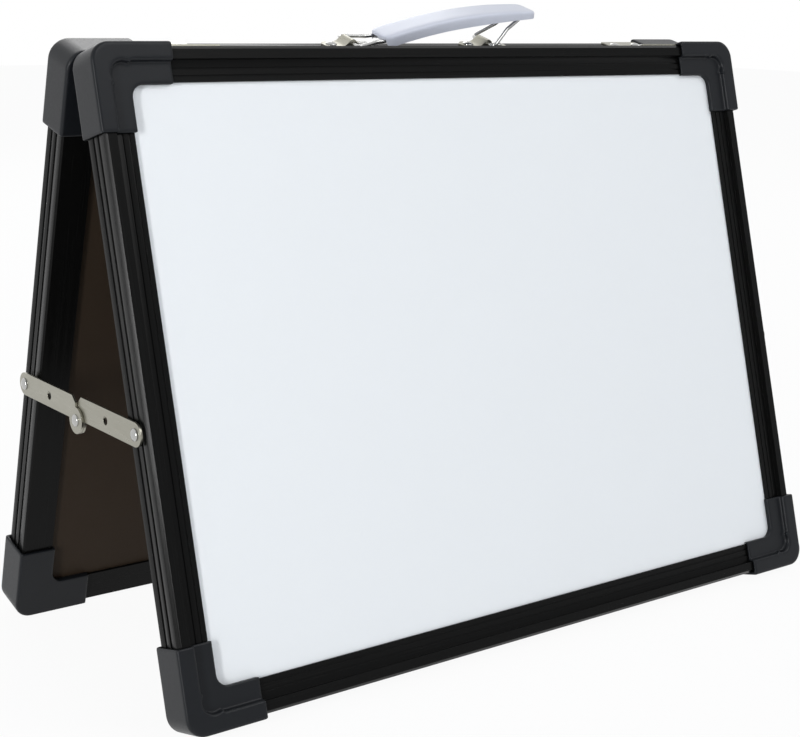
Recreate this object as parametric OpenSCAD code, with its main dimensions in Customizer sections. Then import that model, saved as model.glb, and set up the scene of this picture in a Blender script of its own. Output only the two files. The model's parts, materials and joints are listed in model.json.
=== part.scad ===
// Folding desk whiteboard easel: two framed magnetic boards hinged along their
// top rails, a jointed stay on each side and a carrying handle on the rear board.
// Frame: X across the boards, Y from the front board to the rear one, Z up.
// The origin is on the desk, midway between the boards. Sizes are millimetres.

/* [Boards] */
// Width of a board over its rails
board_w = 400; // [300:1:600]
// Height of a board over its rails
board_h = 300; // [230:1:450]
// Lean of each board from upright when the easel is open
lean = 15.5; // [10:0.5:22]
// Gap left between a corner cap and the folding plane
close_gap = 0.15; // [0.1:0.05:0.5]

/* [Rails] */
// Width of a rail across its face
rail_face = 16; // [13:0.5:22]
// Depth of a rail from its inner side to its outer band
rail_depth = 17; // [15:0.5:24]
// Width of the raised outer band of the face
band_w = 6; // [4:0.5:7]
// Drop from the raised band to the inner band
band_step = 3; // [1:0.25:4]
// Bevel along the outer front corner
corner_bevel = 1.6; // [0.5:0.1:2.5]
// Thickness of the lip in front of the writing sheet
front_lip = 1.2; // [0.8:0.1:2]
// Thickness of the lip behind the backing
back_lip = 1.5; // [1:0.1:2.5]
// Depth of the channel's floor behind the outer edge
channel_floor = 5; // [4:0.5:6]
// Depth of the fine grooves
groove_depth = 0.45; // [0.2:0.05:0.8]
// Width of the fine grooves
groove_w = 0.8; // [0.4:0.1:1.2]

/* [Panels] */
// Thickness of the enamelled steel writing sheet
sheet_t = 0.6; // [0.3:0.1:1.2]
// Thickness of the backing sheet
backing_t = 1.2; // [0.6:0.1:2]
// Play of the panels in the rails' channel, each side
panel_play = 0.3; // [0.1:0.1:0.8]

/* [Corner caps] */
// Wall of a cap around the rails
cap_wall = 1.8; // [1.2:0.1:2]
// Length of a cap's leg along the rails' outer edges
cap_leg = 38; // [28:1:50]
// Overlap of a cap past the rails' inner edge
cap_overlap = 1; // [0.5:0.1:2]
// Outer corner radius of a cap
cap_round = 9; // [6:0.5:9.5]
// Fillet radius in the angle of a cap
cap_fillet = 6; // [3:0.5:9]
// Play between a cap and the rails
cap_play = 0.1; // [0.05:0.05:0.3]
// Bevel round a cap's front and back edges
cap_bevel = 0.9; // [0.3:0.1:1.2]
// Width of the flat that a bottom cap stands on
foot_w = 2; // [1:0.25:3]

/* [Hinges] */
// Height of the hinge axis above the rails' top
hinge_rise = 2; // [2:0.1:4]
// Distance of a hinge's middle from the easel's middle
hinge_x = 148.2; // [90:0.1:190]
// Length of a hinge
hinge_len = 26; // [20:1:40]
// Reach of a hinge leaf from the axis
leaf_reach = 17; // [12:0.5:20]
// Thickness of a hinge leaf
leaf_t = 0.9; // [0.6:0.1:1.2]
// Outer radius of a knuckle
knuckle_r = 2; // [1.6:0.1:2]
// Radius of a hinge pin
pin_r = 1.1; // [0.8:0.1:1.3]
// Distance between a leaf's two rivets
leaf_pitch = 16.4; // [10:0.2:24]

/* [Stays] */
// Distance of a stay's board pivot below the rails' top
stay_down = 168; // [120:1:200]
// Drop of the knee below the line between the board pivots
knee_drop = 5.9; // [3:0.1:8]
// Width of a stay arm
arm_w = 11.2; // [9:0.2:14]
// Thickness of a stay arm
arm_t = 1.2; // [0.8:0.1:1.5]
// Radius of the ear round the knee
ear_r = 6.4; // [5.8:0.1:8]
// Bevel of an arm's upper corner at the knee
arm_notch = 3.2; // [1:0.2:5]
// Radius of the spare hole in an arm
spare_r = 2; // [1:0.1:2.5]
// Gap between the two arms of a stay, and to the spacer
arm_gap = 0.1; // [0.05:0.05:0.3]
// Height of the inner spacer between rail and arm
spacer_t = 0.8; // [0.6:0.1:4]
// Outer radius of a spacer
spacer_r = 3.6; // [2.8:0.1:4.4]

/* [Rivets] */
// Radius of a rivet's shank
rivet_r = 1.6; // [1:0.1:1.9]
// Radius of a rivet's head
rivet_head_r = 2.9; // [2.4:0.1:4]
// Height of a rivet's head
rivet_head_h = 1.3; // [0.8:0.1:2]
// Length of the shank inside a rail
rivet_grip = 3.4; // [2:0.1:4]
// Running play round shanks, pins and wires
run_play = 0.06; // [0.02:0.01:0.1]

/* [Handle] */
// Distance between the two bracket humps
bracket_pitch = 88; // [70:1:140]
// Length of a bracket
bracket_len = 30; // [26:1:36]
// Width of a bracket
bracket_w = 10; // [8:0.5:12]
// Thickness of a bracket's feet
bracket_t = 1; // [0.8:0.1:1.5]
// Distance between a bracket's rivets
bracket_rivet_pitch = 20; // [18:0.5:26]
// Distance of the handle's middle line behind the folding plane
handle_y = 13; // [9:0.5:14]
// Height of a loop's pivot above the rail
loop_rise = 2.4; // [2:0.1:4]
// Radius of the loops' wire
wire_r = 1; // [0.7:0.1:1.2]
// Reach of a loop from its pivot to its grip bar
loop_reach = 23; // [18:0.5:30]
// Width of a loop at its pivot
loop_w = 19; // [16:0.5:24]
// Width of a loop at the grip
loop_neck_w = 10; // [8:0.5:10.5]
// Length of the narrow end of a loop
loop_neck = 9.5; // [6:0.5:12]
// Angle of the left loop above the rail at rest
loop_rest = 5; // [3:0.5:15]
// Distance between the loops' bars in the grip
grip_pitch = 84; // [68:0.5:136]
// Length of the grip past the left bar
grip_past_left = 5; // [4:0.5:8]
// Length of the grip past the right bar
grip_past_right = 9.5; // [7:0.5:14]
// Width of the grip
grip_w = 16.4; // [16:0.2:24]
// Wall of the grip
grip_wall = 1.5; // [1:0.1:1.8]
// Depth of the grip's sides
grip_depth = 6; // [5:0.5:9]
// Rise of the grip's arch over its length
grip_arch = 4; // [2:0.5:8]

/* [Hidden] */
$fn = 48;

LEFT = -1;
RIGHT = 1;
eps = 0.01;
far = 2 * board_w;

// Colours, as the photographed easel shows them
frame_black = [0.09, 0.09, 0.09];
cap_grey = [0.17, 0.18, 0.2];
enamel_white = [0.93, 0.95, 0.96];
backing_brown = [0.22, 0.18, 0.14];
core_tan = [0.7, 0.6, 0.45];
nickel = [0.72, 0.71, 0.66];
grip_grey = [0.8, 0.82, 0.88];

// Rails: distances behind or in front of the folding plane
rail_back = close_gap + cap_wall;
band_front = rail_back + rail_depth;
face_front = band_front - band_step;
sheet_front = face_front - front_lip - panel_play / 4;
backing_back = rail_back + back_lip + panel_play / 4;
core_t = sheet_front - backing_back - sheet_t - backing_t;
rail_mid = rail_back + rail_depth / 2;

// Height of the hinge axis over the desk, less what the foot flats take off
foot_cut = foot_w * sin(lean) * cos(lean);
axis_z = (board_h + cap_wall + hinge_rise) * cos(lean) - close_gap * sin(lean) - foot_cut;

// Stays: the board pivot as a place in the open easel, and the knee over the desk
stay_v = stay_down + hinge_rise;
pivot_y = stay_v * sin(lean) + rail_mid * cos(lean);
pivot_z = axis_z - stay_v * cos(lean) + rail_mid * sin(lean);
knee_z = pivot_z - knee_drop;
arm_x = board_w / 2 + spacer_t + arm_gap;
outer_arm_x = arm_x + arm_t + arm_gap;

// Handle: the right loop's angle follows from the four pivots
leg_r = 0.92 * wire_r;
loop_c = [loop_reach * cos(loop_rest), loop_reach * sin(loop_rest)];
span_x = bracket_pitch - loop_c[0];
span_k = (grip_pitch * grip_pitch - span_x * span_x - loop_c[1] * loop_c[1]
    - loop_reach * loop_reach) / (2 * loop_reach);
span_r = sqrt(span_x * span_x + loop_c[1] * loop_c[1]);
loop_right_rest = acos(span_k / span_r) - atan2(loop_c[1], span_x);
loop_d = [bracket_pitch + loop_reach * cos(loop_right_rest), loop_reach * sin(loop_right_rest)];
grip_rest = atan2(loop_d[1] - loop_c[1], loop_d[0] - loop_c[0]);
loop_lift = acos((bracket_pitch - grip_pitch) / 2 / loop_reach);
grip_len = grip_past_left + grip_pitch + grip_past_right;
grip_radius = (grip_len * grip_len / 4 + grip_arch * grip_arch) / (2 * grip_arch);

// The motion's numbers for the record: angles and ratios to the joint followed
reach = sqrt(pivot_y * pivot_y + knee_drop * knee_drop);
arm_open = -asin(knee_drop / reach);
arm_closed = acos(rail_mid / reach);
echo(axis_z = axis_z, pivot_y = pivot_y, pivot_z = pivot_z, knee_z = knee_z);
echo(fold = 2 * lean, arm_turn = arm_closed - arm_open - lean,
    arm_ratio = (arm_closed - arm_open - lean) / (2 * lean));
echo(lift = loop_lift - loop_rest, right_loop_rest = loop_right_rest,
    right_ratio = (180 - loop_lift - loop_right_rest) / (loop_lift - loop_rest),
    grip_rest = grip_rest,
    grip_ratio = -(grip_rest + loop_lift - loop_rest) / (loop_lift - loop_rest));

// Places a board that is drawn upright with its inner side on the plane Y = 0
// and its rails' top at Z = 0, so that it stands on the desk
module stand_front() {
    translate([0, 0, axis_z])
        rotate([-lean, 0, 0])
            translate([0, 0, -hinge_rise])
                children();
}

module stand_rear() {
    mirror([0, 1, 0])
        stand_front()
            children();
}

// Section of a rail: X runs from the outer edge inwards, Y from the inner side out
module rail_section() {
    step_y = rail_depth - band_step;
    grooves_x = [band_w + 0.35 * (rail_face - band_w), band_w + 0.68 * (rail_face - band_w)];
    grooves_y = [0.3 * rail_depth, 0.58 * rail_depth];
    difference() {
        polygon([
            [0, 0.8], [0.8, 0], [rail_face, 0], [rail_face, back_lip],
            [channel_floor, back_lip], [channel_floor, step_y - front_lip],
            [rail_face, step_y - front_lip], [rail_face, step_y],
            [band_w, step_y], [band_w, rail_depth],
            [corner_bevel, rail_depth], [0, rail_depth - corner_bevel]
        ]);
        for (x = grooves_x)
            translate([x, step_y - groove_depth])
                square([groove_w, 1]);
        for (y = grooves_y)
            translate([groove_depth - 1, y])
                square([1, 2 * groove_w]);
    }
}

// Radius of the frame's corners, which keeps the caps' walls even round them
function frame_round() = cap_round - cap_wall;

// Outline of a board's outer edge over a rail's length, with its round corners
module frame_outline(length) {
    r = frame_round();
    translate([-length / 2 + r, -far])
        square([length - 2 * r, far]);
    translate([-length / 2, -far])
        square([length, far - r]);
    for (end = [-1, 1])
        translate([end * (length / 2 - r), -r])
            circle(r = r);
}

// A rail of a given length along X, outer edge up, mitred at both ends and
// rounded off at the board's corners
module rail(length) {
    intersection() {
        translate([0, -rail_back, 0])
            rotate([0, 90, 180])
                linear_extrude(length, center = true)
                    rail_section();
        rotate([90, 0, 0])
            linear_extrude(far, center = true)
                intersection() {
                    polygon([
                        [-length / 2, 0], [length / 2, 0],
                        [length / 2 - rail_face - 1, -rail_face - 1],
                        [-length / 2 + rail_face + 1, -rail_face - 1]
                    ]);
                    frame_outline(length);
                }
    }
}

// Holes that a rail's fasteners need, as rods along Z through the outer edge
module rivet_hole(x, y) {
    translate([x, y, -rivet_grip - 0.2])
        cylinder(h = rivet_grip + 1, r = rivet_r + run_play);
}

module hinge_holes() {
    for (side = [LEFT, RIGHT], end = [-1, 1])
        rivet_hole(side * hinge_x + end * leaf_pitch / 2, -rail_mid);
}

module handle_holes() {
    for (side = [LEFT, RIGHT], end = [-1, 1])
        rivet_hole(side * bracket_pitch / 2 + end * bracket_rivet_pitch / 2, -handle_y);
}

module rail_top() {
    difference() {
        rail(board_w);
        hinge_holes();
    }
}

module rail_top_with_handle() {
    difference() {
        rail_top();
        handle_holes();
    }
}

module rail_bottom() {
    translate([0, 0, -board_h])
        mirror([0, 0, 1])
            rail(board_w);
}

module rail_side(side) {
    translate([side * board_w / 2, 0, -board_h / 2])
        rotate([0, side * 90, 0])
            difference() {
                rail(board_h);
                rivet_hole(side * (stay_down - board_h / 2), -rail_mid);
            }
}

// Flat sheets held in the rails' channel
module panel(y_front, thickness) {
    inset = channel_floor + panel_play;
    translate([-board_w / 2 + inset, -y_front, -board_h + inset])
        cube([board_w - 2 * inset, thickness, board_h - 2 * inset]);
}

module writing_sheet() {
    color(enamel_white)
        panel(sheet_front, sheet_t);
}

module core() {
    color(core_tan)
        panel(sheet_front - sheet_t, core_t);
}

module backing() {
    color(backing_brown)
        panel(backing_back + backing_t, backing_t);
}

// Corner outline, from the board's corner: X and Y run inwards along the rails
module corner_outline(grow, width, round_r, fillet_r) {
    difference() {
        union() {
            translate([-grow + round_r, -grow])
                square([cap_leg + grow - round_r, width + grow]);
            translate([-grow, -grow + round_r])
                square([width + grow, cap_leg + grow - round_r]);
            translate([-grow + round_r, -grow + round_r])
                circle(r = round_r);
            if (fillet_r > 0)
                translate([width - eps, width - eps])
                    square(fillet_r);
        }
        if (fillet_r > 0)
            translate([width + fillet_r, width + fillet_r])
                circle(r = fillet_r);
    }
}

// A corner cap drawn with the board's corner at the origin and the board's
// inner side down: X and Y run inwards along the rails, Z runs outwards
module cap_body() {
    outer_w = rail_face + cap_overlap;
    back_z = -cap_wall;
    band_z = rail_depth + cap_wall;
    face_z = rail_depth - band_step + cap_wall;
    cap_band = band_w + cap_wall - 0.8;
    difference() {
        union() {
            translate([0, 0, back_z + cap_bevel])
                linear_extrude(face_z - back_z - cap_bevel)
                    corner_outline(cap_wall, outer_w, cap_round, cap_fillet);
            translate([0, 0, back_z])
                linear_extrude(cap_bevel)
                    corner_outline(cap_wall - cap_bevel / 2, outer_w, cap_round, cap_fillet);
            translate([0, 0, face_z - eps])
                linear_extrude(band_z - face_z - cap_bevel + eps)
                    corner_outline(cap_wall, cap_band, cap_round, cap_fillet);
            translate([0, 0, band_z - cap_bevel])
                linear_extrude(cap_bevel)
                    corner_outline(cap_wall - cap_bevel / 2, cap_band - cap_bevel / 2,
                        cap_round, cap_fillet);
        }
        cap_cavity(outer_w);
    }
}

// Room for the rails and the panels inside a cap
module cap_cavity(outer_w) {
    step_z = rail_depth - band_step;
    translate([0, 0, -cap_play])
        linear_extrude(step_z + 2 * cap_play)
            cavity_outline(rail_face + cap_play);
    translate([0, 0, -cap_play])
        linear_extrude(rail_depth + 2 * cap_play)
            cavity_outline(band_w + cap_play);
    translate([channel_floor, channel_floor, back_lip])
        cube([far, far, step_z - front_lip - back_lip]);
}

module cavity_outline(width) {
    r = frame_round();
    difference() {
        union() {
            translate([r, -cap_play])
                square(far);
            translate([-cap_play, r])
                square(far);
            translate([r, r])
                circle(r = r + cap_play);
        }
        translate([width, width])
            square(far);
    }
}

// A cap placed on an upright board
module cap(side, top) {
    color(cap_grey)
        translate([side * board_w / 2, -rail_back, top ? 0 : -board_h])
            mirror([side > 0 ? 1 : 0, 0, 0])
                mirror([0, 0, top ? 0 : 1])
                    rotate([90, 0, 0])
                        mirror([0, 1, 0])
                            cap_body();
}

// A bottom cap after its inner lower edge is cut level with the desk
module standing_cap(side) {
    difference() {
        stand_front()
            cap(side, false);
        translate([-far / 2, -far / 2, -far])
            cube([far, far, far]);
    }
}

// Rivet with its head's seat at Z = 0 and its shank running down
module rivet(shank) {
    edge = rivet_head_h / 3;
    translate([0, 0, -shank])
        cylinder(h = shank + eps, r = rivet_r);
    cylinder(h = edge, r = rivet_head_r);
    translate([0, 0, edge])
        rotate_extrude()
            intersection() {
                square([rivet_head_r, rivet_head_h]);
                translate([0, -dome_r() + rivet_head_h - edge])
                    circle(r = dome_r(), $fn = 96);
            }
}

// Radius of the dome on a rivet's head
function dome_r() =
    let(h = rivet_head_h * 2 / 3)
    (rivet_head_r * rivet_head_r + h * h) / (2 * h);

// Hinges: both leaves are drawn lying on a front board's top rail
module leaf_plate() {
    difference() {
        translate([-hinge_len / 2, -leaf_reach, 0])
            cube([hinge_len, leaf_reach - knuckle_r - 0.3, leaf_t]);
        for (end = [-1, 1])
            translate([end * leaf_pitch / 2, -rail_mid, -1])
                cylinder(h = leaf_t + 2, r = rivet_r + run_play);
    }
}

// One knuckle, from one place along X to another, with its tongue to the leaf
module knuckle(from, to) {
    difference() {
        union() {
            translate([from, 0, hinge_rise])
                rotate([0, 90, 0])
                    cylinder(h = to - from, r = knuckle_r);
            translate([from, -knuckle_r - 0.3 - eps, 0])
                cube([to - from, knuckle_r + 0.3 + eps, leaf_t]);
        }
        translate([from - 1, 0, hinge_rise])
            rotate([0, 90, 0])
                cylinder(h = to - from + 2, r = pin_r + run_play);
    }
}

module hinge_front_leaf(side) {
    third = hinge_len / 3;
    color(nickel)
        stand_front()
            translate([side * hinge_x, 0, 0]) {
                leaf_plate();
                knuckle(-hinge_len / 2, -third / 2 - 0.15);
                knuckle(third / 2 + 0.15, hinge_len / 2);
            }
}

module hinge_rear_leaf(side) {
    third = hinge_len / 3;
    color(nickel)
        stand_rear()
            translate([side * hinge_x, 0, 0]) {
                leaf_plate();
                knuckle(-third / 2, third / 2);
            }
}

module hinge_pins() {
    color(nickel)
        for (side = [LEFT, RIGHT])
            translate([side * hinge_x - hinge_len / 2 - 0.4, 0, axis_z])
                rotate([0, 90, 0]) {
                    cylinder(h = hinge_len + 0.8, r = pin_r);
                    cylinder(h = 0.35, r = knuckle_r - 0.3);
                    translate([0, 0, hinge_len + 0.45])
                        cylinder(h = 0.35, r = knuckle_r - 0.3);
                }
}

module hinge_rivets() {
    color(nickel)
        for (side = [LEFT, RIGHT], end = [-1, 1])
            translate([side * hinge_x + end * leaf_pitch / 2, -rail_mid, leaf_t])
                rivet(leaf_t + rivet_grip);
}

// Stays: an arm drawn in Y and Z, from its board pivot at the origin to a knee
// at [reach_y, -knee_drop], as a flat plate from X = 0 to X = arm_t
module arm_outline(reach_y) {
    half = arm_w / 2;
    end_y = reach_y - arm_gap;
    difference() {
        union() {
            circle(r = half);
            polygon([
                [0, -half], [end_y, -half], [end_y, half - arm_notch],
                [end_y - arm_notch, half], [0, half]
            ]);
            translate([reach_y, -knee_drop])
                circle(r = ear_r);
        }
        translate([reach_y / 2, 0])
            circle(r = spare_r);
        circle(r = rivet_r + run_play);
    }
}

module arm_plate(x) {
    translate([x, 0, 0])
        rotate([90, 0, 90])
            linear_extrude(arm_t)
                children();
}

module stay_front_arm(side) {
    color(nickel)
        mirror([side < 0 ? 1 : 0, 0, 0])
            translate([0, -pivot_y, pivot_z])
                arm_plate(arm_x)
                    arm_outline(pivot_y);
}

module stay_rear_arm(side) {
    color(nickel)
        mirror([side < 0 ? 1 : 0, 0, 0])
            mirror([0, 1, 0])
                translate([0, -pivot_y, pivot_z])
                    arm_plate(outer_arm_x)
                        difference() {
                            arm_outline(pivot_y);
                            translate([pivot_y, -knee_drop])
                                circle(r = rivet_r + run_play);
                        }
}

module stay_knee_rivet(side) {
    color(nickel)
        mirror([side < 0 ? 1 : 0, 0, 0])
            translate([outer_arm_x + arm_t, 0, knee_z])
                rotate([0, 90, 0])
                    rivet(arm_t);
}

// Spacer rings between a board's side rail and its arms
module stay_spacers(height) {
    color(nickel)
        for (side = [0, 1])
            mirror([side, 0, 0])
                translate([board_w / 2, -rail_mid, -stay_down])
                    rotate([0, 90, 0])
                        difference() {
                            cylinder(h = height, r = spacer_r);
                            translate([0, 0, -1])
                                cylinder(h = height + 2, r = rivet_r + run_play);
                        }
}

module stay_rivets(seat) {
    color(nickel)
        for (side = [0, 1])
            mirror([side, 0, 0])
                translate([board_w / 2 + seat, -rail_mid, -stay_down])
                    rotate([0, 90, 0])
                        rivet(seat + rivet_grip);
}

// Handle: everything is drawn over an upright rear board seen from the front,
// with X across, Y away from the folding plane and Z up from the rail's top
module on_rear_rail() {
    translate([0, 0, axis_z])
        rotate([lean, 0, 0])
            translate([0, handle_y, -hinge_rise])
                children();
}

module handle_bracket(side) {
    hump_r = wire_r + run_play + 1.3;
    color(nickel)
        on_rear_rail()
            translate([side * bracket_pitch / 2, 0, 0])
                difference() {
                    union() {
                        translate([-bracket_len / 2 + bracket_w / 2, -bracket_w / 2, 0])
                            cube([bracket_len - bracket_w, bracket_w, bracket_t]);
                        for (end = [-1, 1])
                            translate([end * (bracket_len - bracket_w) / 2, 0, 0])
                                cylinder(h = bracket_t, r = bracket_w / 2);
                        rotate([90, 0, 0])
                            linear_extrude(bracket_w - 1, center = true) {
                                polygon([
                                    [-6.5, bracket_t / 2], [-4, bracket_t + 0.9],
                                    [-hump_r * 0.7, loop_rise + hump_r * 0.71],
                                    [hump_r * 0.7, loop_rise + hump_r * 0.71],
                                    [4, bracket_t + 0.9], [6.5, bracket_t / 2]
                                ]);
                                translate([0, loop_rise])
                                    circle(r = hump_r);
                            }
                    }
                    translate([0, 0, loop_rise])
                        rotate([90, 0, 0])
                            cylinder(h = 2 * bracket_w, r = wire_r + run_play, center = true);
                    translate([-bracket_len, -bracket_w, -2 * bracket_w])
                        cube([2 * bracket_len, 2 * bracket_w, 2 * bracket_w]);
                    for (end = [-1, 1])
                        translate([end * bracket_rivet_pitch / 2, 0, -1])
                            cylinder(h = bracket_t + 2, r = rivet_r + run_play);
                }
}

module handle_bracket_rivets() {
    color(nickel)
        on_rear_rail()
            for (side = [LEFT, RIGHT], end = [-1, 1])
                translate([side * bracket_pitch / 2 + end * bracket_rivet_pitch / 2, 0, bracket_t])
                    rivet(bracket_t + rivet_grip);
}

// A straight leg of a loop between two points of its flat path, a little
// thinner than the bars that it joins
module loop_leg(a, b) {
    run = b - a;
    translate([a[0], a[1], 0])
        rotate([0, 90, atan2(run[1], run[0])])
            cylinder(h = norm(run), r = leg_r, $fn = 8);
}

// A loop lying along X from its pivot at the origin to its bar in the grip
module wire_loop() {
    flare_x = loop_reach - loop_neck;
    for (x_and_w = [[0, loop_w], [loop_reach, loop_neck_w]])
        translate([x_and_w[0], 0, 0])
            rotate([90, 0, 0])
                cylinder(h = x_and_w[1] + 2 * wire_r, r = wire_r, center = true);
    for (s = [-1, 1]) {
        loop_leg([0, s * loop_w / 2], [flare_x, s * loop_neck_w / 2]);
        loop_leg([flare_x - leg_r / 2, s * loop_neck_w / 2], [loop_reach, s * loop_neck_w / 2]);
    }
}

module handle_loop(side, angle) {
    color(nickel)
        on_rear_rail()
            translate([side * bracket_pitch / 2, 0, loop_rise])
                rotate([0, -angle, 0])
                    wire_loop();
}

// Side view of the grip, X along it from the left bar and Z up: an arched bar.
// A mouth lengthens it past its left end
module grip_side(inset, mouth = 0) {
    middle = grip_len / 2 - grip_past_left;
    top = grip_depth / 2 + grip_arch;
    intersection() {
        translate([middle, top - grip_radius])
            difference() {
                circle(r = grip_radius - inset, $fn = 360);
                circle(r = grip_radius - grip_depth - (inset > 0 ? 1 : 0), $fn = 360);
            }
        translate([-grip_past_left + inset - mouth, -grip_radius])
            square([grip_len - 2 * inset + mouth, 2 * grip_radius]);
    }
}

// The hollow is open at the left end, where the left loop's legs come in
module grip_shape() {
    difference() {
        rotate([90, 0, 0])
            linear_extrude(grip_w, center = true)
                grip_side(0);
        rotate([90, 0, 0])
            linear_extrude(grip_w - 2 * grip_wall, center = true)
                grip_side(grip_wall, 2 * grip_wall);
    }
}

// The boss that holds the left loop's bar inside the grip
module grip_boss() {
    boss_w = loop_neck_w - 2 * wire_r - 2 * arm_gap;
    difference() {
        translate([-2.2, -boss_w / 2, -1.8])
            cube([4.4, boss_w, grip_depth / 2 + 1.5]);
        rotate([90, 0, 0])
            cylinder(h = 2 * boss_w, r = wire_r + run_play, center = true);
    }
}

module handle_grip() {
    color(grip_grey)
        on_rear_rail()
            translate([-bracket_pitch / 2 + loop_c[0], 0, loop_rise + loop_c[1]])
                rotate([0, -grip_rest, 0]) {
                    grip_shape();
                    grip_boss();
                }
}

color(frame_black) stand_front() rail_top();  // front_rail_top
color(frame_black) stand_front() rail_bottom();  // front_rail_bottom
color(frame_black) stand_front() rail_side(LEFT);  // front_rail_left
color(frame_black) stand_front() rail_side(RIGHT);  // front_rail_right
stand_front() cap(LEFT, true);  // front_cap_top_left
stand_front() cap(RIGHT, true);  // front_cap_top_right
standing_cap(LEFT);  // front_cap_bottom_left
standing_cap(RIGHT);  // front_cap_bottom_right
stand_front() writing_sheet();  // front_writing_sheet
stand_front() core();  // front_core
stand_front() backing();  // front_backing
color(frame_black) stand_rear() rail_top_with_handle();  // rear_rail_top
color(frame_black) stand_rear() rail_bottom();  // rear_rail_bottom
color(frame_black) stand_rear() rail_side(LEFT);  // rear_rail_left
color(frame_black) stand_rear() rail_side(RIGHT);  // rear_rail_right
stand_rear() cap(LEFT, true);  // rear_cap_top_left
stand_rear() cap(RIGHT, true);  // rear_cap_top_right
mirror([0, 1, 0]) standing_cap(LEFT);  // rear_cap_bottom_left
mirror([0, 1, 0]) standing_cap(RIGHT);  // rear_cap_bottom_right
stand_rear() writing_sheet();  // rear_writing_sheet
stand_rear() core();  // rear_core
stand_rear() backing();  // rear_backing
hinge_front_leaf(LEFT);  // hinge_front_leaf_left
hinge_front_leaf(RIGHT);  // hinge_front_leaf_right
hinge_rear_leaf(LEFT);  // hinge_rear_leaf_left
hinge_rear_leaf(RIGHT);  // hinge_rear_leaf_right
hinge_pins();
stand_front() hinge_rivets();  // hinge_rivets_front
stand_rear() hinge_rivets();  // hinge_rivets_rear
stay_front_arm(LEFT);  // stay_front_arm_left
stay_rear_arm(LEFT);  // stay_rear_arm_left
stay_front_arm(RIGHT);  // stay_front_arm_right
stay_rear_arm(RIGHT);  // stay_rear_arm_right
stay_knee_rivet(LEFT);  // stay_knee_rivet_left
stay_knee_rivet(RIGHT);  // stay_knee_rivet_right
stand_front() stay_spacers(spacer_t);  // stay_spacers_front
stand_rear() stay_spacers(outer_arm_x - board_w / 2 - arm_gap);  // stay_spacers_rear
stand_front() stay_rivets(spacer_t + 2 * arm_gap + arm_t);  // stay_rivets_front
stand_rear() stay_rivets(outer_arm_x - board_w / 2 + arm_t + arm_gap);  // stay_rivets_rear
handle_bracket(LEFT);  // handle_bracket_left
handle_bracket(RIGHT);  // handle_bracket_right
handle_bracket_rivets();
handle_loop(LEFT, loop_rest);  // handle_loop_left
handle_loop(RIGHT, loop_right_rest);  // handle_loop_right
handle_grip();
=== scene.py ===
"""The looks of a folding, two-sided desk whiteboard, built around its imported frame."""
import json
import math

import bmesh
import bpy
import numpy as np
from mathutils import Matrix, Vector


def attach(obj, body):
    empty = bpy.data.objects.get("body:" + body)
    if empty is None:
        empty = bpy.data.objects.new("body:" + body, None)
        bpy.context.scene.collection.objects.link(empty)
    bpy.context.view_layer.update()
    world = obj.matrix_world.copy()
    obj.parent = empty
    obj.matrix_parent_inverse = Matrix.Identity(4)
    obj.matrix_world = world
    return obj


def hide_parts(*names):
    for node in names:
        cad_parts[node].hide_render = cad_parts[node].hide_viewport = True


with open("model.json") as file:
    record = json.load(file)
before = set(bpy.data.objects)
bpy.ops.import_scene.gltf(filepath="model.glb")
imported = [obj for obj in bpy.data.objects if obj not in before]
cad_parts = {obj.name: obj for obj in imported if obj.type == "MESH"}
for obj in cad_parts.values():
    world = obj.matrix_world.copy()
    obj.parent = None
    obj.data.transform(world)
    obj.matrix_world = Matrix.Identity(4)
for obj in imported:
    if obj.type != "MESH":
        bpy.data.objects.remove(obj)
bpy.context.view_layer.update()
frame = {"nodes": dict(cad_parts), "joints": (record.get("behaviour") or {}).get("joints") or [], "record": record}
bodies = frame["record"]["behaviour"]["bodies"]
joints = {joint["name"]: joint for joint in frame["joints"]}

# The photograph is taken from the left front corner, a little above the top
# edge, with a long lens. Its place, turn and lens come from a fit to the
# straight edges of the rails, which they meet within about 2.5 pixels.
PHOTO_W = 800
SENSOR_W = 36.0
CAMERA_AT = Vector((-0.51124, -0.65248, 0.31731))
CAMERA_YAW, CAMERA_PITCH, CAMERA_ROLL = 0.6488, 0.2287, 0.0207
FOCAL_PIXELS = 1587.82
FARTHEST_SEEN = 30


def place_camera():
    """Yaw turns from +Y towards +X, pitch looks down, and roll turns about the line of sight."""
    forward = Vector((
        math.sin(CAMERA_YAW) * math.cos(CAMERA_PITCH),
        math.cos(CAMERA_YAW) * math.cos(CAMERA_PITCH),
        -math.sin(CAMERA_PITCH),
    ))
    level = Vector((math.cos(CAMERA_YAW), -math.sin(CAMERA_YAW), 0))
    upright = level.cross(forward)
    right = math.cos(CAMERA_ROLL) * level + math.sin(CAMERA_ROLL) * upright
    up = math.cos(CAMERA_ROLL) * upright - math.sin(CAMERA_ROLL) * level
    lens = bpy.data.cameras.new("photo_camera")
    lens.sensor_width = SENSOR_W
    lens.lens = FOCAL_PIXELS / PHOTO_W * SENSOR_W
    lens.clip_end = FARTHEST_SEEN
    camera = bpy.data.objects.new("photo_camera", lens)
    turn = Matrix((right, up, -forward)).transposed()
    camera.matrix_world = Matrix.Translation(CAMERA_AT) @ turn.to_4x4()
    bpy.context.collection.objects.link(camera)
    bpy.context.scene.camera = camera


place_camera()
bpy.context.scene.view_settings.view_transform = "Standard"

# The easel stands on plain pale paper in a white room, which lights it at a plain
# level. Reflections see a white backdrop behind the easel and a dimmer room in front.
FLOOR_HALF = 6.0
FLOOR_COLOUR = (0.86, 0.87, 0.88, 1)
FLOOR_ROUGHNESS = 0.9
FLOOR_GLOW = 0.94
ROOM_TINT = (0.95, 0.97, 1, 1)
ROOM_LIGHT = 0.46
BACKDROP_WHITE = (1, 1, 1, 1)
DIM_SIDE = 0.25
FADE_FROM, FADE_TO = -0.5, 0.1
LAMPS_AIM = Vector((0, 0, 0.15))
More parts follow.
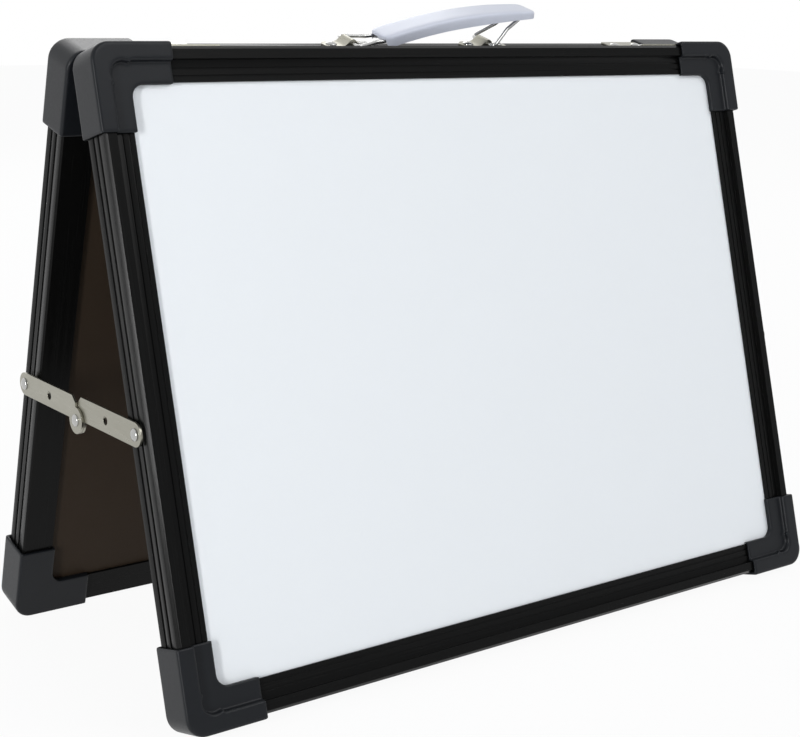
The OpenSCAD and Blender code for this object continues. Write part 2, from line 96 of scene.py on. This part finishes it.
# Each lamp's name, place and size in metres, and power in watts
LAMPS = (
    ("front_softbox", (0.9, -1.7, 2.0), (1.6, 1.2), 19),
    ("left_strip", (-1.88, -0.9, 0.42), (0.1, 1.1), 24),
    ("back_softbox", (0.6, 1.9, 1.6), (1.6, 1.2), 15),
)


def toward_backdrop(nodes, links):
    """One in the directions of the backdrop, towards +Y, fading to the dim side towards -Y."""
    place, parts = nodes.new("ShaderNodeTexCoord"), nodes.new("ShaderNodeSeparateXYZ")
    fade = nodes.new("ShaderNodeMapRange")
    fade.inputs["From Min"].default_value = FADE_FROM
    fade.inputs["From Max"].default_value = FADE_TO
    fade.inputs["To Min"].default_value = DIM_SIDE
    links.new(place.outputs["Generated"], parts.inputs[0])
    links.new(parts.outputs["Y"], fade.inputs["Value"])
    return fade.outputs["Result"]


def seen_directly(nodes, links, gloss=None):
    """One for camera, glossy and transmission rays, and nought for the rays that light things.
    Glossy rays may see the share that is given as gloss."""
    path = nodes.new("ShaderNodeLightPath")
    reflected = path.outputs["Is Glossy Ray"]
    if gloss:
        dimmed = nodes.new("ShaderNodeMath")
        dimmed.operation = "MULTIPLY"
        links.new(reflected, dimmed.inputs[0])
        links.new(gloss, dimmed.inputs[1])
        reflected = dimmed.outputs[0]
    seen = path.outputs["Is Camera Ray"]
    for kind in (reflected, path.outputs["Is Transmission Ray"]):
        either = nodes.new("ShaderNodeMath")
        either.operation = "MAXIMUM"
        links.new(seen, either.inputs[0])
        links.new(kind, either.inputs[1])
        seen = either.outputs[0]
    return seen


def make_room():
    """A world that shows white and lights things more dimly."""
    world = bpy.data.worlds.new("white_room")
    bpy.context.scene.world = world
    world.use_nodes = True
    nodes, links = world.node_tree.nodes, world.node_tree.links
    nodes.clear()
    out = nodes.new("ShaderNodeOutputWorld")
    lighting = nodes.new("ShaderNodeBackground")
    lighting.inputs["Color"].default_value = ROOM_TINT
    lighting.inputs["Strength"].default_value = ROOM_LIGHT
    shown = nodes.new("ShaderNodeBackground")
    shown.inputs["Color"].default_value = BACKDROP_WHITE
    mix = nodes.new("ShaderNodeMixShader")
    links.new(seen_directly(nodes, links, toward_backdrop(nodes, links)), mix.inputs[0])
    links.new(lighting.outputs[0], mix.inputs[1])
    links.new(shown.outputs[0], mix.inputs[2])
    links.new(mix.outputs[0], out.inputs["Surface"])


def make_floor():
    """A wide sheet that keeps part of its own shading, so that the shadow stays."""
    corners = [(-1, -1), (1, -1), (1, 1), (-1, 1)]
    mesh = bpy.data.meshes.new("floor")
    mesh.from_pydata([(x * FLOOR_HALF, y * FLOOR_HALF, 0) for x, y in corners], [], [(0, 1, 2, 3)])
    floor = bpy.data.objects.new("floor", mesh)
    bpy.context.collection.objects.link(floor)
    material = bpy.data.materials.new("floor_paper")
    material.use_nodes = True
    nodes, links = material.node_tree.nodes, material.node_tree.links
    paper = nodes["Principled BSDF"]
    paper.inputs["Base Color"].default_value = FLOOR_COLOUR
    paper.inputs["Roughness"].default_value = FLOOR_ROUGHNESS
    glow = nodes.new("ShaderNodeEmission")
    share = nodes.new("ShaderNodeMath")
    share.operation = "MULTIPLY"
    share.inputs[1].default_value = FLOOR_GLOW
    mix = nodes.new("ShaderNodeMixShader")
    links.new(seen_directly(nodes, links), share.inputs[0])
    links.new(share.outputs[0], mix.inputs[0])
    links.new(paper.outputs[0], mix.inputs[1])
    links.new(glow.outputs[0], mix.inputs[2])
    links.new(mix.outputs[0], nodes["Material Output"].inputs["Surface"])
    mesh.materials.append(material)


def softbox(name, at, size, power):
    """A rectangular lamp that faces the middle of the easel."""
    lamp = bpy.data.lights.new(name, "AREA")
    lamp.shape = "RECTANGLE"
    lamp.size, lamp.size_y = size
    lamp.energy = power
    box = bpy.data.objects.new(name, lamp)
    box.location = at
    box.rotation_euler = (LAMPS_AIM - Vector(at)).to_track_quat("-Z", "Y").to_euler()
    bpy.context.collection.objects.link(box)


make_room()
make_floor()
for name, at, size, power in LAMPS:
    softbox(name, at, size, power)

# The rails are black anodised aluminium, drawn through a die and sawn to
# length. Faint lines run along each one, and its corners are slightly rounded.
LEAN = math.radians(joints["board_fold"]["range_deg"][1] / 2)
BOARDS = (("front", -LEAN), ("rear", LEAN))
ENDS = ("left", "right")
RAIL_DARK, RAIL_LIGHT = (0.0028, 0.0029, 0.0029), (0.0056, 0.0056, 0.0054)
RAIL_ROUNDING, RAIL_STEPS = 0.00035, 3
RAIL_DRAWN = 50
PATCH_DETAIL, GRAIN_DETAIL = 4, 3
GRAIN_LOW, GRAIN_HIGH = 0.3, 0.7
MIX_A, MIX_B, MIX_COLOUR = 6, 7, 2
RELIEF_STRENGTH = 0.35
WELD = 2e-6
FLAT_DEG, CREASE_DEG, ROUNDED_DEG = 0.6, 35, 30


def build_mottling():
    """Soft patches mix two colours, and a finer grain gives the roughness and a height."""
    group = bpy.data.node_groups.new("mottling", "ShaderNodeTree")
    for label, kind in (("Vector", "Vector"), ("Dark", "Color"), ("Light", "Color"),
                        ("Patch Scale", "Float"), ("Grain Scale", "Float"),
                        ("Smooth", "Float"), ("Rough", "Float")):
        group.interface.new_socket(label, in_out="INPUT", socket_type="NodeSocket" + kind)
    for label, kind in (("Color", "Color"), ("Roughness", "Float"), ("Height", "Float")):
        group.interface.new_socket(label, in_out="OUTPUT", socket_type="NodeSocket" + kind)
    nodes, links = group.nodes, group.links
    inside, out = nodes.new("NodeGroupInput"), nodes.new("NodeGroupOutput")
    patch, grain = nodes.new("ShaderNodeTexNoise"), nodes.new("ShaderNodeTexNoise")
    patch.inputs["Detail"].default_value = PATCH_DETAIL
    grain.inputs["Detail"].default_value = GRAIN_DETAIL
    mix = nodes.new("ShaderNodeMix")
    mix.data_type = "RGBA"
    rough = nodes.new("ShaderNodeMapRange")
    rough.inputs["From Min"].default_value = GRAIN_LOW
    rough.inputs["From Max"].default_value = GRAIN_HIGH
    links.new(inside.outputs["Vector"], patch.inputs["Vector"])
    links.new(inside.outputs["Vector"], grain.inputs["Vector"])
    links.new(inside.outputs["Patch Scale"], patch.inputs["Scale"])
    links.new(inside.outputs["Grain Scale"], grain.inputs["Scale"])
    links.new(patch.outputs["Fac"], mix.inputs[0])
    links.new(inside.outputs["Dark"], mix.inputs[MIX_A])
    links.new(inside.outputs["Light"], mix.inputs[MIX_B])
    links.new(grain.outputs["Fac"], rough.inputs["Value"])
    links.new(inside.outputs["Smooth"], rough.inputs["To Min"])
    links.new(inside.outputs["Rough"], rough.inputs["To Max"])
    links.new(mix.outputs[MIX_COLOUR], out.inputs["Color"])
    links.new(rough.outputs["Result"], out.inputs["Roughness"])
    links.new(grain.outputs["Fac"], out.inputs["Height"])
    return group


MOTTLING = build_mottling()


def mottled(name, dark, light, smooth, rough, patch, grain, relief=0.0, metallic=0.0,
            specular=0.5, drawn=(1, 1, 1), lean=0.0):
    """A finish whose pattern is drawn out along one way, in a board's own leaning directions."""
    material = bpy.data.materials.new(name)
    material.use_nodes = True
    nodes, links = material.node_tree.nodes, material.node_tree.links
    shader = nodes["Principled BSDF"]
    shader.inputs["Metallic"].default_value = metallic
    shader.inputs["Specular IOR Level"].default_value = specular
    place = nodes.new("ShaderNodeTexCoord")
    mapping = nodes.new("ShaderNodeMapping")
    mapping.vector_type = "TEXTURE"
    mapping.inputs["Rotation"].default_value = (lean, 0, 0)
    mapping.inputs["Scale"].default_value = drawn
    effect = nodes.new("ShaderNodeGroup")
    effect.node_tree = MOTTLING
    effect.inputs["Dark"].default_value = (*dark, 1)
    effect.inputs["Light"].default_value = (*light, 1)
    effect.inputs["Patch Scale"].default_value = patch
    effect.inputs["Grain Scale"].default_value = grain
    effect.inputs["Smooth"].default_value = smooth
    effect.inputs["Rough"].default_value = rough
    links.new(place.outputs["Object"], mapping.inputs["Vector"])
    links.new(mapping.outputs["Vector"], effect.inputs["Vector"])
    links.new(effect.outputs["Color"], shader.inputs["Base Color"])
    links.new(effect.outputs["Roughness"], shader.inputs["Roughness"])
    if relief:
        bump = nodes.new("ShaderNodeBump")
        bump.inputs["Strength"].default_value = RELIEF_STRENGTH
        bump.inputs["Distance"].default_value = relief
        links.new(effect.outputs["Height"], bump.inputs["Height"])
        links.new(bump.outputs["Normal"], shader.inputs["Normal"])
    return material


def shade_smooth(mesh):
    """Every face takes its shading from its neighbours."""
    mesh.polygons.foreach_set("use_smooth", np.ones(len(mesh.polygons), bool))


def finished(node, material, rounding=0, steps=0, crease=CREASE_DEG):
    """A node's own solid, welded from its triangles, with its edges rounded and its finish on.
    Edges that turn by more than the crease, in degrees, stay sharp."""
    piece = bpy.data.objects.new(node + "_finished", frame["nodes"][node].data.copy())
    bpy.context.collection.objects.link(piece)
    mesh = piece.data
    work = bmesh.new()
    work.from_mesh(mesh)
    bmesh.ops.remove_doubles(work, verts=work.verts, dist=WELD)
    bmesh.ops.dissolve_limit(work, angle_limit=math.radians(FLAT_DEG),
                             verts=work.verts, edges=work.edges)
    work.to_mesh(mesh)
    work.free()
    mesh.materials.clear()
    mesh.materials.append(material)
    mesh.polygons.foreach_set("material_index", np.zeros(len(mesh.polygons), np.int32))
    shade_smooth(mesh)
    mesh.set_sharp_from_angle(angle=math.radians(crease))
    if rounding:
        bevel = piece.modifiers.new("rounding", "BEVEL")
        bevel.width = rounding
        bevel.segments = steps
        bevel.limit_method = "ANGLE"
        bevel.angle_limit = math.radians(ROUNDED_DEG)
        bevel.harden_normals = True
    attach(piece, next(body for body, members in bodies.items() if node in members))
    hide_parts(node)
    return piece


def rail_finish(name, drawn, lean):
    """Black anodising whose lines run along the rail, the way in which they are drawn out."""
    return mottled(name, RAIL_DARK, RAIL_LIGHT, smooth=0.2, rough=0.3, patch=30, grain=420,
                   relief=1e-5, specular=0.1, drawn=drawn, lean=lean)


for side, lean in BOARDS:
    level_rail = rail_finish(side + "_level_rail", (RAIL_DRAWN, 1, 1), lean)
    upright_rail = rail_finish(side + "_upright_rail", (1, 1, RAIL_DRAWN), lean)
    for edge, finish in (("top", level_rail), ("bottom", level_rail),
                         ("left", upright_rail), ("right", upright_rail)):
        finished(side + "_rail_" + edge, finish, RAIL_ROUNDING, RAIL_STEPS)

# Each board is a steel sheet with glossy white enamel fired on, over a core of
# raw fibreboard. A dark brown board closes the inner side.
enamel = mottled("white_enamel", (0.842, 0.872, 0.897), (0.848, 0.877, 0.902),
                 smooth=0.28, rough=0.3, patch=3, grain=90, specular=0.2)
fibre = mottled("core_fibre", (0.40, 0.31, 0.20), (0.50, 0.40, 0.27),
                smooth=0.7, rough=0.85, patch=60, grain=900, relief=1e-4)
brown = mottled("brown_backing", (0.030, 0.020, 0.013), (0.042, 0.029, 0.019),
                smooth=0.45, rough=0.6, patch=9, grain=700, relief=3e-5, specular=0.12)
for side, lean in BOARDS:
    finished(side + "_writing_sheet", enamel)
    finished(side + "_core", fibre)
    finished(side + "_backing", brown)

# The corner caps are moulded in charcoal plastic with a fine satin grain, and
# pushed over the ends of the rails. Their edges are well rounded.
MOULD_GRID = 0.0005
MOULD_EASE, MOULD_RELAX = 0.5, 7
MOULD_KEEP = 0.3
charcoal = mottled("charcoal_plastic", (0.0075, 0.0085, 0.0105), (0.011, 0.0125, 0.015),
                   smooth=0.3, rough=0.42, patch=22, grain=1500, relief=3e-5, specular=0.2)


def moulded(node, lean, material):
    """A node's solid as it leaves its mould: remade on a fine even grid in its board's own
    directions and relaxed, so that each edge gets a soft radius, and then thinned."""
    piece = finished(node, material)
    piece.data.transform(Matrix.Rotation(-lean, 4, "X"))
    grid = piece.modifiers.new("grid", "REMESH")
    grid.mode = "VOXEL"
    grid.voxel_size = MOULD_GRID
    relax = piece.modifiers.new("relax", "SMOOTH")
    relax.factor = MOULD_EASE
    relax.iterations = MOULD_RELAX
    thin = piece.modifiers.new("thin", "DECIMATE")
    thin.ratio = MOULD_KEEP
    shaped = piece.evaluated_get(bpy.context.evaluated_depsgraph_get())
    mesh = bpy.data.meshes.new_from_object(shaped)
    piece.modifiers.clear()
    mesh.transform(Matrix.Rotation(lean, 4, "X"))
    shade_smooth(mesh)
    if not mesh.materials:
        mesh.materials.append(material)
    piece.data = mesh


for side, lean in BOARDS:
    for level in ("top", "bottom"):
        for end in ENDS:
            moulded("_".join((side, "cap", level, end)), lean, charcoal)

# The hinges are plated steel butts, riveted down on the two top rails, with a pin
# through three knuckles. Rivets everywhere are steel with bright domed heads.
PLATE_ROUNDING, PLATE_STEPS = 0.0002, 2
RIVET_CREASE_DEG = 60
plate = mottled("nickel_plate", (0.29, 0.282, 0.235), (0.40, 0.39, 0.335),
                smooth=0.26, rough=0.38, patch=60, grain=900,
                relief=1e-5, metallic=1.0, drawn=(1, 8, 1))
bright = mottled("bright_steel", (0.40, 0.40, 0.39), (0.52, 0.52, 0.51),
                 smooth=0.12, rough=0.22, patch=90, grain=700, metallic=1.0)


def plated(node):
    """A strip cut from sheet steel and plated, with its edges just broken."""
    finished(node, plate, PLATE_ROUNDING, PLATE_STEPS)


def riveted(node):
    """Rivets or pins of bright steel, which are sharp only where a head meets its shank."""
    finished(node, bright, crease=RIVET_CREASE_DEG)


for end in ENDS:
    plated("hinge_front_leaf_" + end)
    plated("hinge_rear_leaf_" + end)
for node in ("hinge_pins", "hinge_rivets_front", "hinge_rivets_rear"):
    riveted(node)

# The stays are nickel-plated strips, two to a side, joined by a rivet at a knee
# that sits below their line when the easel is open. Spacers keep them off the rails.
for end in ENDS:
    plated("stay_front_arm_" + end)
    plated("stay_rear_arm_" + end)
    riveted("stay_knee_rivet_" + end)
for side, lean in BOARDS:
    finished("stay_spacers_" + side, plate)
    riveted("stay_rivets_" + side)

# The brackets of the handle are pressed strips with a hump over the wire and a
# rivet on either side, on the top rail of the rear board.
for end in ENDS:
    plated("handle_bracket_" + end)
riveted("handle_bracket_rivets")

# Each loop is one bright wire bent to a trapezium: a bar through the bracket,
# two legs that draw together, and a shorter bar inside the grip.
WIRE_R = 0.001
WIRE_BEND = 0.0017
BEND_STEPS = 9
WIRE_SIDES = 20
LOOP_W, NECK_W, NECK = 0.019, 0.010, 0.0095
GRIP_PITCH = 0.084
ALONG_BOARD = np.array((1, 0, 0))
REAR_BACK = np.array((0, math.cos(LEAN), math.sin(LEAN)))
REAR_UP = np.array((0, -math.sin(LEAN), math.cos(LEAN)))


def bent_path(corners):
    """A closed flat path whose corners are arcs that touch both of their sides:
    point = start + R (sin a ahead + (1 - cos a) inwards), as a goes from 0 to the bend."""
    path = []
    for before, here, after in zip(np.roll(corners, 1, 0), corners, np.roll(corners, -1, 0)):
        arrive = (here - before) / np.linalg.norm(here - before)
        leave = (after - here) / np.linalg.norm(after - here)
        bend = math.acos(np.clip(arrive @ leave, -1, 1))
        start = here - arrive * WIRE_BEND * math.tan(bend / 2)
        inwards = leave - arrive * math.cos(bend)
        inwards = inwards / np.linalg.norm(inwards)
        a = np.linspace(0, bend, BEND_STEPS)[:, None]
        path.append(start + WIRE_BEND * (np.sin(a) * arrive + (1 - np.cos(a)) * inwards))
    return np.concatenate(path)


def skinned(name, points, faces, material):
    """A new piece from points and faces, welded where they meet and facing outwards."""
    mesh = bpy.data.meshes.new(name)
    mesh.from_pydata(points.tolist(), [], faces)
    work = bmesh.new()
    work.from_mesh(mesh)
    bmesh.ops.remove_doubles(work, verts=work.verts, dist=WELD)
    bmesh.ops.recalc_face_normals(work, faces=work.faces)
    work.to_mesh(mesh)
    work.free()
    shade_smooth(mesh)
    mesh.materials.append(material)
    piece = bpy.data.objects.new(name, mesh)
    bpy.context.collection.objects.link(piece)
    return piece


def wire_loop(name, pivot, across, rise, material):
    """A circle swept along the bent path: point = centre + r (cos t side + sin t up)."""
    reach = math.hypot(across, rise)
    along = (across * ALONG_BOARD + rise * REAR_UP) / reach
    up = np.cross(along, REAR_BACK)
    corners = np.array([(0, -LOOP_W / 2), (reach - NECK, -NECK_W / 2), (reach, -NECK_W / 2),
                        (reach, NECK_W / 2), (reach - NECK, NECK_W / 2), (0, LOOP_W / 2)])
    path = bent_path(corners)
    centre = pivot + path[:, :1] * along + path[:, 1:] * REAR_BACK
    ahead = np.roll(centre, -1, 0) - np.roll(centre, 1, 0)
    ahead /= np.linalg.norm(ahead, axis=1, keepdims=True)
    sideways = np.cross(ahead, up)
    t = np.linspace(0, 2 * np.pi, WIRE_SIDES, endpoint=False)[:, None]
    ring = WIRE_R * (np.cos(t) * sideways[:, None] + np.sin(t) * up)
    points = (centre[:, None] + ring).reshape(-1, 3)
    i, j = np.meshgrid(np.arange(len(centre)), np.arange(WIRE_SIDES), indexing="ij")
    i2, j2 = (i + 1) % len(centre), (j + 1) % WIRE_SIDES
    faces = np.stack([i * WIRE_SIDES + j, i2 * WIRE_SIDES + j,
                      i2 * WIRE_SIDES + j2, i * WIRE_SIDES + j2], -1).reshape(-1, 4)
    return skinned(name, points, faces.tolist(), material)


# The right loop's turn closes the linkage: the ends of the two loops stay one
# grip pitch apart, so its angle follows from the cosine rule.
left_pivot = np.array(joints["handle_lift"]["pos_m"])
right_pivot = np.array(joints["right_loop_turn"]["pos_m"])
grip_pivot = np.array(joints["grip_turn"]["pos_m"])
left_across = (grip_pivot - left_pivot)[0]
left_rise = (grip_pivot - left_pivot) @ REAR_UP
loop_reach = math.hypot(left_across, left_rise)
gap = (right_pivot - grip_pivot)[0]
diagonal = math.hypot(gap, left_rise)
opening = (GRIP_PITCH ** 2 - diagonal ** 2 - loop_reach ** 2) / (2 * loop_reach * diagonal)
right_turn = math.acos(opening) - math.atan2(left_rise, gap)
right_across = loop_reach * math.cos(right_turn)
right_rise = loop_reach * math.sin(right_turn)
wire = mottled("bright_wire", (0.50, 0.50, 0.49), (0.62, 0.62, 0.61),
               smooth=0.16, rough=0.3, patch=200, grain=900, metallic=1.0)
for end, pivot, across, rise in (
    ("left", left_pivot, left_across, left_rise),
    ("right", right_pivot, right_across, right_rise),
):
    loop = wire_loop("wire_loop_" + end, pivot, across, rise, wire)
    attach(loop, "handle_" + end + "_loop")
    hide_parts("handle_loop_" + end)

# The grip is an arched channel in pale lavender-grey plastic, with rounded corners
# and with sides that grow shallower towards the right. Its left end is open below
# for the legs of its loop, and a lug under the roof holds the left bar.
GRIP_PAST_LEFT, GRIP_PAST_RIGHT = 0.005, 0.0095
GRIP_W, GRIP_WALL, GRIP_DEPTH, GRIP_ARCH = 0.0164, 0.0015, 0.006, 0.004
GRIP_HALF = (GRIP_PAST_LEFT + GRIP_PITCH + GRIP_PAST_RIGHT) / 2
GRIP_MIDDLE = GRIP_HALF - GRIP_PAST_LEFT
GRIP_RADIUS = (GRIP_HALF ** 2 + GRIP_ARCH ** 2) / (2 * GRIP_ARCH)
GRIP_CREASE_DEG = 55
PLAN_CORNER = 0.0045
CROWN_POWER = 8
SHALLOW_RIGHT = 0.42
MOUTH_ROOF, MOUTH_START, MOUTH_END = 0.00135, -0.0026, -0.0008
MOUTH_INNER, MOUTH_OUTER = 0.0062, 0.0076
LUG_R, LUG_HALF_W, LUG_TOP = 0.0022, 0.0039, 0.003
CORNER_STEPS, LONG_STEPS, SHORT_STEPS = 9, 48, 8
CROWN_STEPS, LUG_STEPS = 22, 14


def roof(x):
    """Height of the arch above the left bar: a circle through both ends and the crown."""
    sagitta = GRIP_RADIUS - np.sqrt(GRIP_RADIUS ** 2 - (x - GRIP_MIDDLE) ** 2)
    return GRIP_DEPTH / 2 + GRIP_ARCH - sagitta


def eased(share):
    """A step without corners: 3 s^2 - 2 s^3, with s kept between nought and one."""
    share = np.clip(share, 0, 1)
    return share ** 2 * (3 - 2 * share)


def rim(x, y):
    """Height of the lower edge: the roof less a depth that falls off as the square of the
    way to the right end, and at the left end, between the sides, the height of the mouth."""
    share = np.clip((x - GRIP_MIDDLE) / GRIP_HALF, 0, 1)
    edge = roof(x) - GRIP_DEPTH * (1 - SHALLOW_RIGHT * share ** 2)
    mouth = eased((MOUTH_END - x) / (MOUTH_END - MOUTH_START))
    mouth = mouth * eased((MOUTH_OUTER - np.abs(y)) / (MOUTH_OUTER - MOUTH_INNER))
    return edge + (np.maximum(edge, MOUTH_ROOF) - edge) * mouth


def plan_outline():
    """Round the plan once, for each point: its share of the way from the middle to a corner's
    centre, and the direction in which the corner's radius is added."""
    share, outward = [], []
    for sx, sy, start in ((1, 1, 0), (-1, 1, 90), (-1, -1, 180), (1, -1, 270)):
        turn = np.radians(np.linspace(start, start + 90, CORNER_STEPS))
        share.append(np.tile((sx, sy), (CORNER_STEPS, 1)))
        outward.append(np.stack([np.cos(turn), np.sin(turn)], -1))
        long_side = sx == sy
        steps = LONG_STEPS if long_side else SHORT_STEPS
        away = np.linspace(1, -1, steps + 1, endpoint=False)[1:]
        fixed = np.ones(steps)
        share.append(np.stack([sx * away, sy * fixed] if long_side else [sx * fixed, sy * away], -1))
        outward.append(np.tile((0, sy) if long_side else (sx, 0), (steps, 1)))
    return np.concatenate(share).astype(float), np.concatenate(outward).astype(float)


def grip_skin(wall):
    """One skin, set in by the wall: at rho it lies (1 - rho) half widths inside the plan, and
    its height is rim + (roof - rim) (1 - rho^n)^(1/n), from one at the rim to nought at the spine."""
    share, outward = plan_outline()
    rho = np.sin(np.linspace(np.pi / 2, 0, CROWN_STEPS))[:, None, None]
    half = np.array((GRIP_HALF, GRIP_W / 2)) - wall
    inset = half[1] * (1 - rho)
    corner = PLAN_CORNER - wall
    plan = share * (half - np.maximum(corner, inset)) + outward * np.maximum(corner - inset, 0)
    x, y = GRIP_MIDDLE + plan[..., 0], plan[..., 1]
    edge = rim(x[0], y[0])
    crown = (1 - rho[..., 0] ** CROWN_POWER) ** (1 / CROWN_POWER)
    return np.stack([x, y, edge + (roof(x) - wall - edge) * crown], -1)


def lug():
    """A profile, half round below and straight above, carried across the grip."""
    turn = np.linspace(np.pi, 2 * np.pi, LUG_STEPS)
    side = np.concatenate([LUG_R * np.stack([np.cos(turn), np.sin(turn)], -1),
                           [(LUG_R, LUG_TOP), (-LUG_R, LUG_TOP)]])
    ends = [np.insert(side, 1, y, axis=1) for y in (-LUG_HALF_W, LUG_HALF_W)]
    count = len(side)
    walls = [(i, (i + 1) % count, count + (i + 1) % count, count + i) for i in range(count)]
    return np.concatenate(ends), walls + [tuple(range(count))[::-1], tuple(range(count, 2 * count))]


def make_grip(name, along, up, material):
    """The outer and inner skins, joined at the rim, and the lug."""
    outer, inner = grip_skin(0), grip_skin(GRIP_WALL)
    around = outer.shape[1]
    size = CROWN_STEPS * around
    i, j = np.meshgrid(np.arange(CROWN_STEPS - 1), np.arange(around), indexing="ij")
    j2 = (j + 1) % around
    skin = np.stack([i * around + j, i * around + j2, (i + 1) * around + j2,
                     (i + 1) * around + j], -1).reshape(-1, 4)
    j, j2 = np.arange(around), (np.arange(around) + 1) % around
    lip = np.stack([j, size + j, size + j2, j2], -1)
    lug_points, lug_faces = lug()
    points = np.concatenate([outer.reshape(-1, 3), inner.reshape(-1, 3), lug_points])
    faces = np.concatenate([skin, skin + size, lip]).tolist()
    faces += [tuple(2 * size + corner for corner in face) for face in lug_faces]
    placed = grip_pivot + points[:, :1] * along + points[:, 1:2] * REAR_BACK + points[:, 2:] * up
    piece = skinned(name, placed, faces, material)
    piece.data.set_sharp_from_angle(angle=math.radians(GRIP_CREASE_DEG))
    return piece


tip_across = (right_pivot - left_pivot)[0] + right_across - left_across
grip_tilt = math.atan2(right_rise - left_rise, tip_across)
grip_along = math.cos(grip_tilt) * ALONG_BOARD + math.sin(grip_tilt) * REAR_UP
grip_up = math.cos(grip_tilt) * REAR_UP - math.sin(grip_tilt) * ALONG_BOARD
lavender = mottled("lavender_plastic", (0.61, 0.64, 0.735), (0.65, 0.68, 0.775),
                   smooth=0.28, rough=0.38, patch=20, grain=1600, relief=2e-5)
grip = make_grip("moulded_grip", grip_along, grip_up, lavender)
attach(grip, "handle_grip")
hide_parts("handle_grip")
